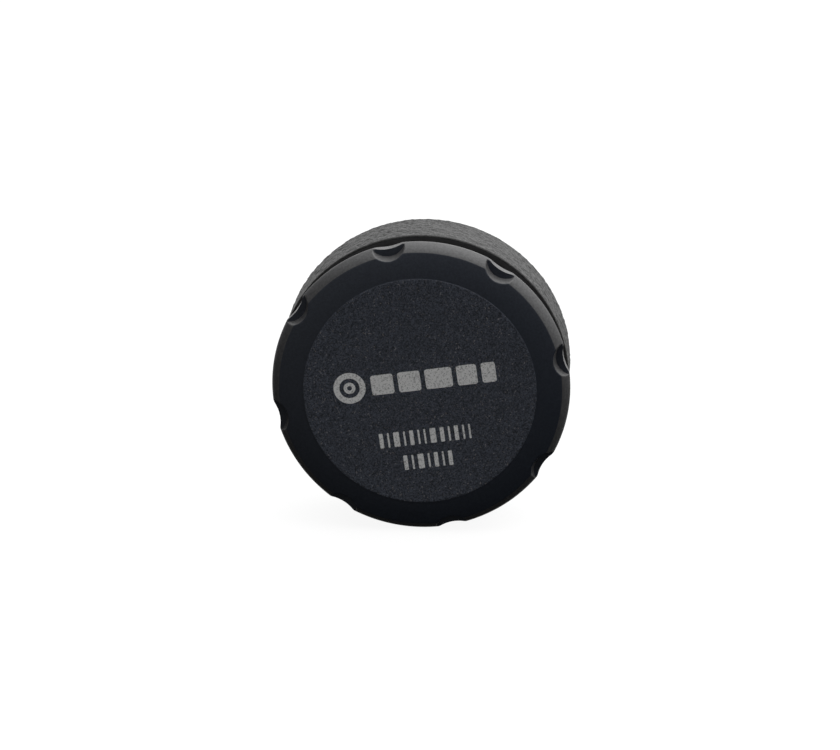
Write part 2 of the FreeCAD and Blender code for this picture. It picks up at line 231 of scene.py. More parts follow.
def joined(parts):
    """One list of vertices and faces from several."""
    verts, faces = [], []
    for part_verts, part_faces in parts:
        base = len(verts)
        verts += [tuple(vert) for vert in part_verts]
        faces += [tuple(base + i for i in face) for face in part_faces]
    return verts, faces


def thread_ridge(base_r, crest_r, rise, start, steps=140, fade=math.radians(12)):
    """Closed ridge of one thread start, which sinks into its wall at both ends."""
    turn = rise / LEAD * 2 * math.pi
    verts, faces = [], []
    for i in range(steps + 1):
        along = turn * i / steps
        t = math.radians(start) + along
        a = RIDGE_A + LEAD * along / (2 * math.pi)
        top = base_r + (crest_r - base_r) * max(0.05, min(1, along / fade, (turn - along) / fade))
        for r, side in ((base_r, -RIDGE_BASE), (top, -RIDGE_CREST), (top, RIDGE_CREST), (base_r, RIDGE_BASE)):
            verts.append((r * math.cos(t), -a - side / 2, r * math.sin(t)))
    for i in range(0, 4 * steps, 4):
        for k in range(4):
            near, far = i + k, i + (k + 1) % 4
            faces.append((near, far, far + 4, near + 4))
    last = 4 * steps
    faces += [(3, 2, 1, 0), (last, last + 1, last + 2, last + 3)]
    if crest_r > base_r:
        faces = [face[::-1] for face in faces]
    return verts, faces


# Materials

def principled(name):
    """New node material, as (material, node tree, principled shader)."""
    mat = bpy.data.materials.new(name)
    mat.use_nodes = True
    tree = mat.node_tree
    return mat, tree, tree.nodes["Principled BSDF"]


def place_noise(tree, scale, detail=3.0, rough=0.55, stretch=None):
    """Noise in object space, with scale in waves per metre."""
    coord = tree.nodes.new("ShaderNodeTexCoord")
    out = coord.outputs["Object"]
    if stretch:
        mapping = tree.nodes.new("ShaderNodeMapping")
        mapping.inputs["Scale"].default_value = stretch
        tree.links.new(out, mapping.inputs["Vector"])
        out = mapping.outputs["Vector"]
    tex = tree.nodes.new("ShaderNodeTexNoise")
    tex.inputs["Scale"].default_value = scale
    tex.inputs["Detail"].default_value = detail
    tex.inputs["Roughness"].default_value = rough
    tree.links.new(out, tex.inputs["Vector"])
    return tex.outputs["Fac"]


def ramp(tree, fac, stops):
    """Colour of a factor, from stops of (position, colour)."""
    node = tree.nodes.new("ShaderNodeValToRGB")
    elements = node.color_ramp.elements
    elements[0].position, elements[0].color = stops[0][0], (*stops[0][1], 1)
    elements[1].position, elements[1].color = stops[-1][0], (*stops[-1][1], 1)
    for position, colour in stops[1:-1]:
        elements.new(position).color = (*colour, 1)
    tree.links.new(fac, node.inputs["Fac"])
    return node.outputs["Color"]


def span(tree, fac, low, high, from_low=0.3, from_high=0.7):
    """Maps a factor onto the range from low to high."""
    node = tree.nodes.new("ShaderNodeMapRange")
    node.inputs["From Min"].default_value = from_low
    node.inputs["From Max"].default_value = from_high
    node.inputs["To Min"].default_value = low
    node.inputs["To Max"].default_value = high
    tree.links.new(fac, node.inputs["Value"])
    return node.outputs["Result"]


def bump(tree, fac, height_mm, before=None):
    """Normal of a relief, on top of the normal of an earlier one."""
    node = tree.nodes.new("ShaderNodeBump")
    node.inputs["Strength"].default_value = 1.0
    node.inputs["Distance"].default_value = height_mm * MM
    tree.links.new(fac, node.inputs["Height"])
    if before is not None:
        tree.links.new(before, node.inputs["Normal"])
    return node.outputs["Normal"]


def surface(name, dark, light, rough, grain_mm, bump_mm, metal=0.0, wear_mm=2.0, stretch=None, specular=0.5,
            detail=3.0):
    """General moulded, drawn or pressed surface: fine grain in bump and roughness, slow drift in colour."""
    mat, tree, bsdf = principled(name)
    slow = place_noise(tree, 1 / (wear_mm * MM), 2.0)
    fine = place_noise(tree, 1 / (grain_mm * MM), detail, 0.6, stretch)
    tree.links.new(ramp(tree, slow, [(0.35, dark), (0.65, light)]), bsdf.inputs["Base Color"])
    tree.links.new(span(tree, fine, rough[0], rough[1]), bsdf.inputs["Roughness"])
    tree.links.new(bump(tree, fine, bump_mm), bsdf.inputs["Normal"])
    bsdf.inputs["Metallic"].default_value = metal
    bsdf.inputs["Specular IOR Level"].default_value = specular
    return mat


def face_material():
    """Fine-blasted disc of the cap: dark grain with a few painted glints, bright points added to its colour.
    """
    mat, tree, bsdf = principled("cap_face_grain_and_painted_glints")
    grain = place_noise(tree, 1 / (0.12 * MM), 2.0, 0.6)
    glint = place_noise(tree, 1 / (0.15 * MM), 1.0, 0.5)
    drift = place_noise(tree, 1 / (3.0 * MM), 2.0)
    base = ramp(tree, grain, [(0.32, (0.005, 0.007, 0.011)), (0.68, (0.084, 0.097, 0.128))])
    # Painted glints: bright points added to the disc's base colour, standing in for light sparkling off the
    # grain.
    painted_glints = ramp(tree, glint, [(0.65, (0, 0, 0)), (0.75, (0.15, 0.13, 0.12))])
    mix = tree.nodes.new("ShaderNodeMix")
    mix.data_type = "RGBA"
    mix.blend_type = "ADD"
    mix.inputs["Factor"].default_value = 1.0
    tree.links.new(base, mix.inputs["A"])
    tree.links.new(painted_glints, mix.inputs["B"])
    tree.links.new(mix.outputs["Result"], bsdf.inputs["Base Color"])
    tree.links.new(span(tree, drift, 0.52, 0.62), bsdf.inputs["Roughness"])
    tree.links.new(bump(tree, grain, 0.03), bsdf.inputs["Normal"])
    return mat


def body_material():
    """Coarse moulded stipple of the body's wall, under the relief in its mesh."""
    mat, tree, bsdf = principled("body_stipple")
    coarse = place_noise(tree, 1 / (0.22 * MM), 3.0, 0.6, (1, 0.35, 1))
    fine = place_noise(tree, 1 / (0.14 * MM), 2.0, 0.6, (1, 0.4, 1))
    tree.links.new(ramp(tree, coarse, [(0.34, (0.005, 0.005, 0.005)), (0.68, (0.022, 0.022, 0.022))]),
                   bsdf.inputs["Base Color"])
    tree.links.new(span(tree, fine, 0.42, 0.62), bsdf.inputs["Roughness"])
    tree.links.new(bump(tree, fine, 0.02, bump(tree, coarse, 0.05)), bsdf.inputs["Normal"])
    bsdf.inputs["Specular IOR Level"].default_value = 0.32
    return mat


def ink_material():
    """Laser-etched mark: pale grey broken by fine dark pits."""
    mat, tree, bsdf = principled("etched_mark")
    pits = place_noise(tree, 1 / (0.12 * MM), 2.0, 0.6)
    tree.links.new(ramp(tree, pits, [(0.30, (0.32, 0.32, 0.32)), (0.50, (0.82, 0.82, 0.815))]),
                   bsdf.inputs["Base Color"])
    tree.links.new(span(tree, pits, 0.6, 0.8), bsdf.inputs["Roughness"])
    tree.links.new(bump(tree, pits, 0.01), bsdf.inputs["Normal"])
    return mat


def board_material():
    """Green solder mask with raised tracks under it and small round vias."""
    mat, tree, bsdf = principled("board_mask")
    coord = tree.nodes.new("ShaderNodeTexCoord")
    turn = tree.nodes.new("ShaderNodeMapping")
    turn.inputs["Rotation"].default_value = (math.pi / 2, 0, 0)
    tree.links.new(coord.outputs["Object"], turn.inputs["Vector"])
    tracks = tree.nodes.new("ShaderNodeTexBrick")
    tracks.offset = 0.37
    tracks.inputs["Scale"].default_value = 1 / (1.6 * MM)
    tracks.inputs["Mortar Size"].default_value = 0.06
    tracks.inputs["Color1"].default_value = (0.008, 0.105, 0.040, 1)
    tracks.inputs["Color2"].default_value = (0.009, 0.120, 0.047, 1)
    tracks.inputs["Mortar"].default_value = (0.022, 0.205, 0.085, 1)
    tree.links.new(turn.outputs["Vector"], tracks.inputs["Vector"])
    tree.links.new(tracks.outputs["Color"], bsdf.inputs["Base Color"])
    fine = place_noise(tree, 1 / (0.3 * MM))
    tree.links.new(span(tree, fine, 0.24, 0.36), bsdf.inputs["Roughness"])
    tree.links.new(bump(tree, tracks.outputs["Fac"], 0.02), bsdf.inputs["Normal"])
    return mat


RING = surface("cap_satin", (0.0095, 0.0132, 0.0221), (0.0167, 0.0216, 0.0324), (0.42, 0.52), 0.12, 0.006,
               wear_mm=0.17)
# Grained side of the cap. Its colour is also made lighter as painted light from above, so the side reads lit
# all round.
SIDE_GRAIN_AND_PAINTED_LIGHT = surface("cap_side_grain_and_painted_light", (0.036, 0.036, 0.038), (0.060, 0.060, 0.062), (0.42, 0.52), 0.14, 0.008,
               wear_mm=0.20)
FACE = face_material()
BODY = body_material()
BODY_PLAIN = surface("body_moulded", (0.030, 0.030, 0.031), (0.040, 0.040, 0.041), (0.42, 0.56), 0.16, 0.012)
INK = ink_material()
BRASS = surface("brass_turned", (0.62, 0.42, 0.16), (0.74, 0.53, 0.23), (0.20, 0.36), 0.10, 0.006, metal=1.0,
                stretch=(1, 0.15, 1))
RUBBER = surface("rubber_black", (0.010, 0.010, 0.010), (0.020, 0.020, 0.020), (0.60, 0.78), 0.10, 0.010)
SILICONE = surface("silicone_grey", (0.20, 0.21, 0.23), (0.27, 0.28, 0.30), (0.50, 0.66), 0.15, 0.008)
FOAM = surface("foam_grey", (0.045, 0.045, 0.048), (0.085, 0.085, 0.090), (0.80, 0.95), 0.22, 0.060)
CHIP = surface("moulded_epoxy", (0.014, 0.014, 0.015), (0.022, 0.022, 0.023), (0.50, 0.68), 0.08, 0.008)
STEEL = surface("plain_steel", (0.50, 0.50, 0.51), (0.62, 0.62, 0.62), (0.22, 0.36), 0.10, 0.004, metal=1.0)
NICKEL = surface("spring_strip", (0.56, 0.53, 0.46), (0.68, 0.65, 0.58), (0.20, 0.34), 0.10, 0.004, metal=1.0,
                 stretch=(0.1, 1, 1))
WIRE = surface("tinned_wire", (0.58, 0.56, 0.52), (0.70, 0.68, 0.64), (0.18, 0.32), 0.08, 0.003, metal=1.0)
SOLDER = surface("solder", (0.52, 0.52, 0.54), (0.66, 0.66, 0.67), (0.16, 0.34), 0.20, 0.012, metal=1.0)
CAN = surface("cell_nickel", (0.58, 0.58, 0.58), (0.70, 0.70, 0.69), (0.20, 0.32), 0.10, 0.001, metal=1.0,
              stretch=(1, 0.06, 1))
CELL_RING = surface("cell_gasket", (0.32, 0.31, 0.29), (0.40, 0.39, 0.36), (0.42, 0.56), 0.15, 0.004)
CATHODE = surface("pressed_powder", (0.010, 0.010, 0.010), (0.018, 0.018, 0.018), (0.75, 0.92), 0.08, 0.02)
ANODE = surface("rolled_metal", (0.42, 0.42, 0.43), (0.52, 0.52, 0.54), (0.34, 0.50), 0.10, 0.006, metal=1.0)
CERAMIC = surface("ceramic_tan", (0.30, 0.20, 0.11), (0.40, 0.28, 0.17), (0.38, 0.52), 0.08, 0.004)
FERRITE = surface("ceramic_blue", (0.030, 0.042, 0.065), (0.045, 0.060, 0.090), (0.40, 0.55), 0.08, 0.004)
NATURAL = surface("holder_natural", (0.46, 0.44, 0.38), (0.56, 0.54, 0.48), (0.38, 0.52), 0.20, 0.006)
BOARD = board_material()


# Cap

def soft_min(p, q, width):
    """Smaller of two values, blended where they are less than width apart."""
    share = np.clip(0.5 + 0.5 * (q - p) / width, 0, 1)
    return q * (1 - share) + p * share - width * share * (1 - share)


def notch(r, a, t):
    """Pushes the cap's edge in to the floor of its grip notches: a shallow groove along the whole
    edge, and a tapered scoop in the groove's front part that stops at an end wall."""
    pitch = 2 * math.pi / NOTCHES
    near = np.round((t - math.radians(NOTCH_PHASE)) / pitch) * pitch + math.radians(NOTCH_PHASE)
    across = r * np.sin(t - near)
    out = r * np.cos(t - near)
    groove = GROOVE_FLOOR_R + GROOVE_R * (1 - np.sqrt(np.clip(1 - (across / GROOVE_R) ** 2, 0, 1)))
    scoop_r = SCOOP_R - (BEVEL_A - a) * SCOOP_TAPER
    scoop = SCOOP_FLOOR_R + SCOOP_R - np.sqrt(np.clip(scoop_r ** 2 - across ** 2, 0, None))
    wall = np.clip((a - SCOOP_END) / END_WALL_SOFT, 0, 1)
    floor = groove + np.minimum(scoop - groove, 0) * wall * wall * (3 - 2 * wall)
    out = soft_min(out, floor, LIP_SOFT)
    x = out * np.cos(near) - across * np.sin(near)
    z = out * np.sin(near) + across * np.cos(near)
    return x, z, a


def cap_shape(r, a, t):
    """Cuts the notches into the cap's edge and leaves its inside round."""
    x, z, a = plain(r, a, t)
    nx, nz, a = notch(r, a, t)
    outside = (r > NOTCHED_FROM_R) & (a > CAP_REAR_A - 0.01)
    return np.where(outside, nx, x), np.where(outside, nz, z), a


def notch_thetas(fine=56, coarse=16):
    """Columns that are close together over each notch and wide apart between them."""
    pitch = 360 / NOTCHES
    one = [-9 + 18 * i / fine for i in range(fine)]
    one += [9 + (pitch - 18) * i / coarse for i in range(coarse)]
    return np.radians([NOTCH_PHASE + k * pitch + d for k in range(NOTCHES) for d in one])


def build_cap():
    """Cap from the middle of its disc, over its edge and round its skirt, to the middle of its inside."""
    face = [(0, LENGTH)] + [(r, LENGTH) for r in (2.5, 5, 7.5, 9.2, FACE_R - 0.15, FACE_R - 0.02)]
    step = [(FACE_R, LENGTH - 0.008), (FACE_R + 0.015, LENGTH - 0.05), (FACE_R + 0.05, LENGTH - 0.062)]
    bevel = bow((FACE_R + 0.09, LENGTH - 0.068), (BEVEL_R, BEVEL_A), BEVEL_BULGE, 24)
    edge = bow((BEVEL_R, BEVEL_A), (CAP_R, EDGE_A), EDGE_BULGE, 46)
    rear = bow((CAP_R, EDGE_A), (CAP_REAR_R, CAP_REAR_A + 0.06), REAR_BULGE, 10)
    rear += [(CAP_REAR_R, CAP_REAR_A + 0.06), (CAP_REAR_R - 0.06, CAP_REAR_A), (SKIRT_R + 0.04, CAP_REAR_A)]
    skirt = [(SKIRT_R, CAP_REAR_A - 0.04), (SKIRT_R, 12.6), (SKIRT_R, SKIRT_END_A + 0.18)]
    skirt += [(SKIRT_R - 0.04, SKIRT_END_A + 0.07), (SKIRT_R - 0.14, SKIRT_END_A)]
    seat = [(SEAT_R + 0.05, SKIRT_END_A), (SEAT_R, SKIRT_END_A + 0.05), (SEAT_R, SEAT_A - 0.04)]
    seat += [(SEAT_R - 0.04, SEAT_A), (FEMALE_ROOT_R + 0.04, SEAT_A)]
    thread = line((FEMALE_ROOT_R, SEAT_A + 0.04), (FEMALE_ROOT_R, CEILING_A - 0.4), 4)
    top = [(FEMALE_ROOT_R, CEILING_A - 0.4), (FEMALE_ROOT_R, CEILING_A - 0.05)]
    top += [(FEMALE_ROOT_R - 0.05, CEILING_A), (RIB_OUT_R + 0.02, CEILING_A)]
    inside = [(RIB_OUT_R, RIB_A + 0.02), (RIB_OUT_R - 0.05, RIB_A), (RIB_IN_R + 0.05, RIB_A)]
    inside += [(RIB_IN_R, RIB_A + 0.02), (RIB_IN_R, CEILING_A), (3, CEILING_A), (0, CEILING_A)]
    profile = face + step + bevel + edge + rear + skirt + seat + thread + top + inside
    thetas = notch_thetas()
    verts, faces = lathe(profile, thetas, cap_shape, closed=False)
    slots = cap_slots(profile, verts, len(thetas), len(face), len(face + step + bevel))
    threads = [thread_ridge(FEMALE_ROOT_R + 0.05, FEMALE_CREST_R, 1.5, start) for start in (-90, 90)]
    slots += [2] * sum(len(part[1]) for part in threads)
    verts, faces = joined([(verts, faces)] + threads)
    cap = link("cap_shell", verts, faces, [FACE, RING, SIDE_GRAIN_AND_PAINTED_LIGHT], slots)
    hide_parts("screw_cap")
    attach(cap, "cap")


def cap_slots(profile, verts, columns, face_rows, bevel_rows):
    """Material of each face of the cap: 0 on the disc, 1 on the satin bevel and the end walls of
    the notches, where the darker satin is painted shade, 2 elsewhere, on the grained side, whose
    lighter colour is partly painted light. On an end wall the radius grows by over 1.5 times the drop."""
    ring = np.asarray(profile)[1:-1]
    radius = np.hypot(verts[:-2, 0], verts[:-2, 2]).reshape(columns, len(ring))
    pushed = ring[None, :, 0] - radius > PUSHED_MIN
    slots = []
    for i in range(columns):
        for j in range(len(ring) - 1):
            in_notch = pushed[i, j] and pushed[(i + 1) % columns, j]
            drop = ring[j, 1] - ring[j + 1, 1]
            end_wall = in_notch and radius[i, j + 1] - radius[i, j] > 1.5 * drop > 0
            # End walls of the notches get the darker satin colour as painted shade in the notches.
            satin_and_painted_shade = end_wall or j < bevel_rows - 1 and not in_notch
            slots.append(0 if j < face_rows - 1 else 1 if satin_and_painted_shade else 2)
    return slots + [0, 2] * columns


# Marks on the cap's face: plain blocks, where a name and a number were

def flat_solid(outline, low, high):
    """Prism over a closed outline in the face's plane, as (verts, faces)."""
    n = len(outline)
    verts = [(x, -low, z) for x, z in outline] + [(x, -high, z) for x, z in outline]
    faces = [tuple(range(n - 1, -1, -1)), tuple(range(n, 2 * n))]
    faces += [(i, (i + 1) % n, n + (i + 1) % n, n + i) for i in range(n)]
    return verts, faces


def rounded_block(cx, cz, w, h, radius, steps=6):
    """Outline of a block with round corners, centred on (cx, cz)."""
    painted_glints = []
    for qx, qz, start in ((1, 1, 0), (-1, 1, 90), (-1, -1, 180), (1, -1, 270)):
        for i in range(steps + 1):
            angle = math.radians(start + 90 * i / steps)
            painted_glints.append((cx + qx * (w / 2 - radius) + radius * math.cos(angle),
                           cz + qz * (h / 2 - radius) + radius * math.sin(angle)))
    return painted_glints


def ring_faces(cx, cz, outer, inner, low, high, n):
    """Flat ring of n sides in the face's plane, as (verts, faces)."""
    verts, faces = [], []
    for a in (low, high):
        for radius in (outer, inner):
            for i in range(n):
                t = 2 * math.pi * i / n
                verts.append((cx + radius * math.cos(t), -a, cz + radius * math.sin(t)))
    for i in range(n):
        j = (i + 1) % n
        faces.append((n + i, n + j, j, i))
        faces.append((2 * n + j, 3 * n + j, 3 * n + i, 2 * n + i))
        faces.append((j, 2 * n + j, 2 * n + i, i))
        faces.append((3 * n + i, 3 * n + j, n + j, n + i))
    return verts, faces


def build_marks():
    """Marks of the disc, tilted as one and riding on the cap."""
    low, high = LENGTH - MARK_SUNK, LENGTH + MARK_PROUD
    parts = [ring_faces(BADGE_X, BAND_Z, 1.36, 0.86, low, high, 72)]
    parts.append(ring_faces(BADGE_X, BAND_Z, 0.50, 0.20, low, high, 40))
    for x, width in BLOCKS:
        parts.append(flat_solid(rounded_block(x, BAND_Z, width, BLOCK_H, 0.22), low, high))
    for z, x, row in BAR_ROWS:
        for kind in row:
            width = BAR_WIDTHS[kind]
            parts.append(flat_solid(rounded_block(x + width / 2, z, width, BAR_H, 0.07, 3), low, high))
            x += width + BAR_GAP
    verts, faces = joined(parts)
    c, s = math.cos(MARK_TILT), math.sin(MARK_TILT)
    verts = [(x * c - z * s, y, x * s + z * c) for x, y, z in verts]
    marks = link("face_marks", verts, faces, [INK], sharp=30)
    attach(marks, "cap")


# Housing


def stipple(r, a, t):
    """Relief of the body's wall in millimetres, faded out at both of its edges."""
    high = np.zeros_like(r)
    on_wall = (r > BODY_R - 0.1) & (a <= WALL_FRONT_A + 0.1) & (a >= WALL_REAR_A - 0.1)
    for i, j in np.argwhere(on_wall):
        p = Vector((BODY_R * math.cos(t[i, j]), BODY_R * math.sin(t[i, j]), a[i, j]))
        for waves, height, offset in STIPPLE:
            high[i, j] += height * noise.noise(p * waves + Vector(offset))
    edge = np.clip(np.minimum(WALL_FRONT_A + 0.05 - a, a - WALL_REAR_A + 0.25) / 0.25, 0.15, 1)
    return np.where(on_wall, high * edge, 0)


def slot_push(r, a, t):
    """Widens the cell chamber into the two slots of the contact fingers."""
    for side in (0, math.pi):
        away = np.abs(np.mod(t - side + math.pi, 2 * math.pi) - math.pi)
        inside = (away < FINGER_SLOT_HALF) & (np.abs(r - CHAMBER_R) < 0.1) & (a > FINGER_SLOT_A)
        r = np.where(inside, FINGER_SLOT_R, r)
    return r


def housing_shape(r, a, t):
    """Adds the stipple, sunk a little so that its peaks stay near the nominal wall, and the slots."""
    on_wall = (r > BODY_R - 0.1) & (a < WALL_FRONT_A) & (a > WALL_REAR_A)
    r = r - 0.02 * on_wall + stipple(r, a, t)
    return plain(slot_push(r, a, t), a, t)


def post(degrees):
    """Boss that carries the board, with a blind pocket for its screw."""
    profile = [(0, POST_HOLE_A), (POST_HOLE_R, POST_HOLE_A), (POST_HOLE_R, POST_TOP_A - 0.02)]
    profile += [(POST_HOLE_R + 0.02, POST_TOP_A), (POST_R - 0.04, POST_TOP_A), (POST_R, POST_TOP_A - 0.04)]
    profile += [(POST_R, FLOOR_A - 0.05), (0, FLOOR_A - 0.05)]
    verts, faces = lathe(profile, np.linspace(0, 2 * math.pi, 48, endpoint=False), plain, closed=False)
    angle = math.radians(degrees)
    return verts + np.array([POST_CIRCLE_R * math.cos(angle), 0, POST_CIRCLE_R * math.sin(angle)]), faces


def build_housing():
    """Housing from its spigot's rim down the outside to its neck, and up the inside of its chamber."""
    lip = [(CHAMBER_R, SPIGOT_TOP_A - 0.06), (CHAMBER_R + 0.06, SPIGOT_TOP_A)]
    lip += [(MALE_ROOT_R - 0.2, SPIGOT_TOP_A), (MALE_ROOT_R - 0.08, SPIGOT_TOP_A - 0.04)]
    lip += [(MALE_ROOT_R, SPIGOT_TOP_A - 0.16)]
    spigot = line((MALE_ROOT_R, SPIGOT_TOP_A - 0.2), (MALE_ROOT_R, SHOULDER_A + 0.06), 5)
    spigot += [(MALE_ROOT_R, SHOULDER_A + 0.06), (MALE_ROOT_R + 0.06, SHOULDER_A)]
    shoulder = [(10.5, SHOULDER_A), (LIP_IN_R - 0.03, SHOULDER_A), (LIP_IN_R, SHOULDER_A + 0.03)]
    shoulder += [(LIP_IN_R, LIP_A - 0.03), (LIP_IN_R + 0.03, LIP_A), (BODY_R - 0.25, LIP_A)]
    front = bow((BODY_R - 0.18, LIP_A), (BODY_R, WALL_FRONT_A), 0.053, 5)
    wall = line((BODY_R, WALL_FRONT_A), (BODY_R, WALL_REAR_A), 48)
    rear = bow((BODY_R, WALL_REAR_A), (BODY_R - 0.5, BACK_A), BACK_BULGE, 8)
    rear += [(BODY_R - 0.5, BACK_A), (11.3, 5.657)]
    cone = bow((11.25, 5.653), CONE_START, 0.006, 3)
    cone += line(CONE_START, (CONE_END[0] + 0.05, CONE_END[1] + 0.02), 6)
    neck = bow(CONE_END, (NECK_R, NECK_START_A), -0.12, 8)
    neck += [(NECK_R, NECK_START_A), (NECK_R, 1.9), (NECK_R, NECK_END_A + 0.35)]
    end = bow((NECK_R, NECK_END_A + 0.3), (NECK_R - 0.3, NECK_END_A), 0.088, 5)
    end += [(NECK_R - 0.3, NECK_END_A), (INSERT_R + 0.04, NECK_END_A), (INSERT_R + 0.01, NECK_END_A + 0.03)]
    hidden = [(INSERT_R + 0.01, FLANGE_A), (FLANGE_R + 0.1, FLANGE_A), (FLANGE_R + 0.1, FLOOR_A - 0.01)]
    hidden += [(FLANGE_R + 0.16, FLOOR_A), (CHAMBER_R - 0.1, FLOOR_A), (CHAMBER_R, FLOOR_A + 0.1)]
    chamber = [(CHAMBER_R, a) for a in (FINGER_SLOT_A - 0.01, FINGER_SLOT_A + 0.01, 11.5, 13.0)]
    profile = lip + spigot + shoulder + front + wall + rear + cone + neck + end + hidden + chamber
    thetas = np.linspace(0, 2 * math.pi, 760, endpoint=False)
    verts, faces = lathe(profile, thetas, housing_shape, closed=True)
    first = len(lip) + len(spigot) + len(shoulder)
    last = first + len(front + wall + rear) - 1
    slots = [1 if first <= j < last else 0 for j in range(len(profile))] * len(thetas)
    added = [post(degrees) for degrees in POST_ANGLES]
    added += [thread_ridge(MALE_ROOT_R - 0.05, MALE_CREST_R, 1.1, start) for start in (0, 180)]
    slots += [0] * sum(len(part[1]) for part in added)
    verts, faces = joined([(verts, faces)] + added)
    body = link("housing_shell", verts, faces, [BODY_PLAIN, BODY], slots)
    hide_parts("housing")
    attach(body, "sensor_body")


# Brass insert

def insert_shape(r, a, t):
    """Cuts the valve thread into the bore: a right-handed groove that fades out at its inner end."""
    bore = (r < VALVE_R + 0.01) & (a > MOUTH_A - 0.01) & (a < THREAD_END_A - 0.05)
    phase = np.mod(a / THREAD_PITCH - t / (2 * math.pi), 1.0)
    wave = np.clip(1.25 - np.abs(phase - 0.5) * 3.2, 0, 1)
    fade = np.clip((THREAD_END_A - 0.08 - a) / 0.3, 0, 1)
    return plain(r + np.where(bore, THREAD_H * wave * fade, 0), a, t)


def build_insert():
    """Insert from its mouth over the flange to the web's hole, and back down the bore."""
    mouth = [(MOUTH_R - 0.06, 0.06), (MOUTH_R, 0)]
    mouth += [(INSERT_R - 0.12, 0), (INSERT_R - 0.03, 0.03), (INSERT_R, 0.12)]
    outside = [(INSERT_R, 2.2), (INSERT_R, FLANGE_A - 0.01), (FLANGE_R, FLANGE_A), (FLANGE_R, FLOOR_A)]
    top = [(4.6, FLOOR_A), (WEB_R + 0.05, FLOOR_A), (WEB_R, FLOOR_A - 0.1), (WEB_R, GASKET_TOP_A + 0.02)]
    top += [(WEB_R + 0.05, GASKET_TOP_A), (GASKET_R - 0.04, GASKET_TOP_A), (GASKET_R, GASKET_TOP_A - 0.05)]
    relief = [(GASKET_R, THREAD_END_A + 0.05), (GASKET_R - 0.04, THREAD_END_A)]
    relief += [(VALVE_R + 0.05, THREAD_END_A), (VALVE_R, THREAD_END_A - 0.04)]
    bore = line((VALVE_R, THREAD_END_A - 0.1), (VALVE_R, MOUTH_A), 54) + [(VALVE_R, MOUTH_A)]
    profile = mouth + outside + top + relief + bore
    thetas = np.linspace(0, 2 * math.pi, 240, endpoint=False)
    verts, faces = lathe(profile[::-1], thetas, insert_shape, closed=True)
    verts, faces = joined([(verts, faces), web()])
    insert = link("insert_shell", verts, faces, [BRASS])
    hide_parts("thread_insert")
    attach(insert, "sensor_body")


def web():
    """Disc at the bottom of the bore between the pin and the wall, with three air holes."""
    n, low, high = 180, GASKET_TOP_A + 0.05, FLOOR_A - 0.05
    angles = [math.radians(90 + 360 / AIR_HOLES * k) for k in range(AIR_HOLES)]
    holes = [(AIR_CIRCLE_R * math.cos(angle), AIR_CIRCLE_R * math.sin(angle)) for angle in angles]
    radii = np.linspace(PIN_R, WEB_R + 0.01, 30)
    verts, index, faces = [], {}, []

    def vert(i, j, a):
        key = (i % n, j, a)
        if key not in index:
            t = 2 * math.pi * i / n
            index[key] = len(verts)
            verts.append((radii[j] * math.cos(t), -a, radii[j] * math.sin(t)))
        return index[key]

    def open_cell(i, j):
        t = 2 * math.pi * (i + 0.5) / n
        r = (radii[j] + radii[j + 1]) / 2
        return any(math.hypot(r * math.cos(t) - x, r * math.sin(t) - z) < AIR_HOLE_R for x, z in holes)

    for i in range(n):
        for j in range(len(radii) - 1):
            if open_cell(i, j):
                continue
            corners = [(i, j), (i, j + 1), (i + 1, j + 1), (i + 1, j)]
            faces.append(tuple(vert(*corner, low) for corner in corners[::-1]))
            faces.append(tuple(vert(*corner, high) for corner in corners[1:] + corners[:1]))
            sides = (((i, j), (i + 1, j), j == 0 or open_cell(i, j - 1)),
                     ((i + 1, j + 1), (i, j + 1), j == len(radii) - 2 or open_cell(i, j + 1)),
                     ((i, j + 1), (i, j), open_cell(i - 1, j)),
                     ((i + 1, j), (i + 1, j + 1), open_cell(i + 1, j)))
            for p, q, is_open in sides:
                if is_open:
                    faces.append((vert(*p, high), vert(*q, high), vert(*q, low), vert(*p, low)))
    return np.array(verts), faces


# CAD nodes that keep their shape

KEPT = {
    "cap_pad": FOAM,
    "o_ring": RUBBER,
    "valve_gasket": RUBBER,
    "core_pin": BRASS,
    "port_seal": SILICONE,
    "pcb": BOARD,
    "pressure_sensor_ic": CHIP,
    "sensor_lid": STEEL,
    "crystal": STEEL,
    "antenna_coil": WIRE,
    "smd_capacitors": CERAMIC,
    "smd_resistors": CHIP,
    "smd_inductors": FERRITE,
    "negative_contact": NICKEL,
    "positive_contacts": NICKEL,
    "cell_holder": NATURAL,
    "solder_joints": SOLDER,
    "pcb_screws": STEEL,
    "cell_can": CAN,
    "cell_lid": CAN,
    "cell_gasket": CELL_RING,
    "cell_cathode": CATHODE,
    "cell_anode": ANODE,
}


def dress_nodes():
    """Gives each kept CAD node its material."""
    for name, mat in KEPT.items():
        for slot in NODES[name].material_slots:
            slot.material = mat


# Stage, light and camera, in metres

STAGE_R = 1.25
FLOOR_GAP = 0.00002
CAMERA_AZIMUTH = math.radians(3.55)
CAMERA_ELEVATION = math.radians(17.3)
CAMERA_DISTANCE = 0.300
CAMERA_RIGHT = 0.00002
CAMERA_UP = 0.00142
LENS_MM = 152.6
SENSOR_MM = 36.0


def white_material(name, glow, albedo):
    """White surface of the studio that lights itself and takes a weak shadow."""
    mat, tree, bsdf = principled(name)
    bsdf.inputs["Base Color"].default_value = (albedo, albedo, albedo, 1)
    bsdf.inputs["Roughness"].default_value = 0.9
    bsdf.inputs["Specular IOR Level"].default_value = 0.0
    bsdf.inputs["Emission Color"].default_value = (1, 1, 1, 1)
    bsdf.inputs["Emission Strength"].default_value = glow
    return mat


def camera_only(obj):
    """Hides an object from everything but the camera, so that it lights and shades nothing."""
    obj.visible_diffuse = False
    obj.visible_glossy = False
    obj.visible_transmission = False
    obj.visible_shadow = False


